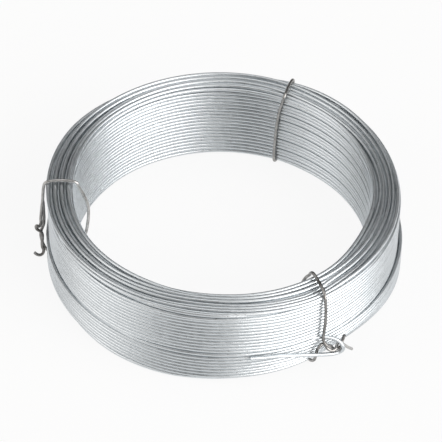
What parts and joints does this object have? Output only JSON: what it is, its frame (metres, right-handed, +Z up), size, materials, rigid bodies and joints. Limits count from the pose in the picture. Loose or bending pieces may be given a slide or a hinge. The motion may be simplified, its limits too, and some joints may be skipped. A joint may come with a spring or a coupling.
{
  "type": "coil of electric fence wire",
  "caption": "Flat-lying coil of bare galvanised steel fence wire, tied round its section with short twisted tie wires, the free end hooked back on itself.",
  "frame": {"origin": "on the coil's axis, at the level of the floor that the undersides of the tie wires rest on", "axes": "+Z up along the coil's axis, -Y towards the front, where the wire's free end lies, +X to the right seen from the front"},
  "size_m": [0.1786, 0.1732, 0.0478],
  "materials": {
    "galvanised_wire": "satin",
    "tie_wire": "satin"
  },
  "bodies": {
    "root": {"coil_wire": "galvanised_wire", "tie_wire_left": "tie_wire", "tie_wire_back": "tie_wire", "tie_wire_front": "tie_wire"}
  },
  "joints": []
}
